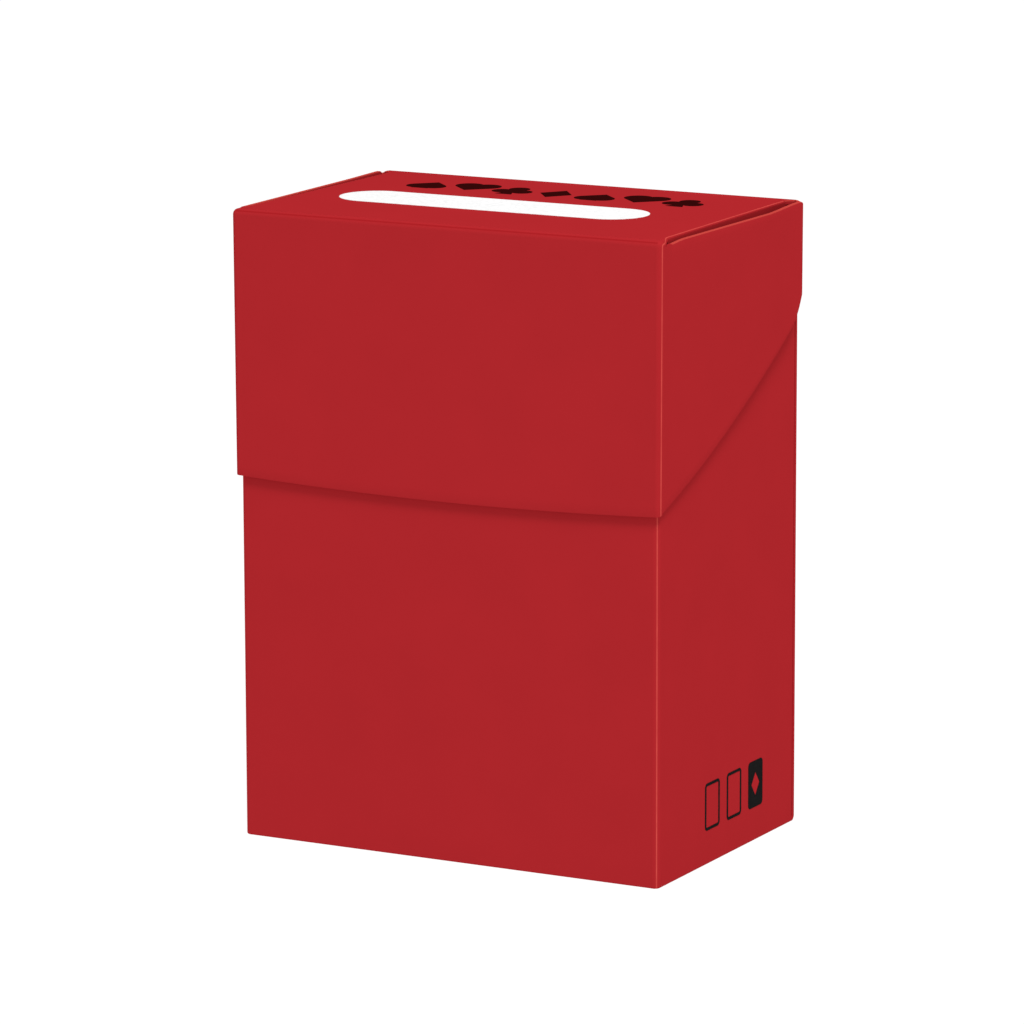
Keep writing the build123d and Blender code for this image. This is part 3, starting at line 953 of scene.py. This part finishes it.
def pale_floor():
    """A wide pale floor; most of its brightness is its own, which keeps shadows faint."""
    bpy.ops.mesh.primitive_circle_add(vertices=96, radius=FLOOR_RADIUS, fill_type="NGON")
    floor = bpy.context.object
    floor.name = "floor"
    nodes = Nodes("pale_floor")
    nodes.shader.inputs["Base Color"].default_value = (FLOOR_GREY, FLOOR_GREY, FLOOR_GREY, 1)
    nodes.shader.inputs["Roughness"].default_value = 0.9
    nodes.shader.inputs["Specular IOR Level"].default_value = 0.0
    nodes.shader.inputs["Emission Color"].default_value = (1, 1, 1, 1)
    nodes.shader.inputs["Emission Strength"].default_value = FLOOR_GLOW
    dress(floor, nodes.material)
    floor.visible_glossy = False


def studio_world(sky, seen, mirrored_sky):
    """Even white surroundings: sky lights, seen is the backdrop, mirrored_sky is glossed."""
    world = bpy.data.worlds.new("studio")
    bpy.context.scene.world = world
    world.use_nodes = True
    tree = world.node_tree
    light_path = tree.nodes.new("ShaderNodeLightPath")
    background = tree.nodes["Background"]

    def pick(share, a, b):
        node = tree.nodes.new("ShaderNodeMix")
        tree.links.new(share, node.inputs["Factor"])
        for place, value in zip(MIX_NUMBERS, (a, b)):
            if isinstance(value, bpy.types.NodeSocket):
                tree.links.new(value, node.inputs[place])
            else:
                node.inputs[place].default_value = value
        return node.outputs[MIXED_NUMBER]

    glossed = pick(light_path.outputs["Is Glossy Ray"], sky, mirrored_sky)
    strength = pick(light_path.outputs["Is Camera Ray"], glossed, seen)
    tree.links.new(strength, background.inputs["Strength"])
    background.inputs["Color"].default_value = (1, 1, 1, 1)


def softbox(name, at, aim, size, watts):
    data = bpy.data.lights.new(name, "AREA")
    data.shape = "SQUARE"
    data.size = size
    data.energy = watts
    lamp = bpy.data.objects.new(name, data)
    bpy.context.scene.collection.objects.link(lamp)
    lamp.location = at
    lamp.rotation_mode = "QUATERNION"
    lamp.rotation_quaternion = (Vector(aim) - Vector(at)).to_track_quat("-Z", "Y")


def camera(azimuth, elevation, roll, distance, target, lens):
    """A camera round the target; azimuth 0 looks along +Y."""
    data = bpy.data.cameras.new("camera")
    data.lens = lens
    data.sensor_width = 36
    data.clip_start = 0.01
    data.clip_end = 50
    view = bpy.data.objects.new("camera", data)
    bpy.context.scene.collection.objects.link(view)
    a, e = radians(azimuth), radians(elevation)
    back = Vector((sin(a) * cos(e), -cos(a) * cos(e), sin(e)))
    view.location = target + back * distance
    view.rotation_mode = "QUATERNION"
    turn = Matrix.Rotation(radians(roll), 4, back).to_quaternion()
    view.rotation_quaternion = turn @ (-back).to_track_quat("-Z", "Y")
    bpy.context.scene.camera = view


pale_floor()
studio_world(SKY, BACKDROP, MIRRORED_SKY)
softbox("key", KEY_AT, KEY_AIM, KEY_SIZE, KEY_WATTS)
camera(VIEW_AZIMUTH, VIEW_ELEVATION, VIEW_ROLL, VIEW_DISTANCE, VIEW_TARGET, VIEW_LENS)
bpy.context.scene.view_settings.view_transform = "Standard"
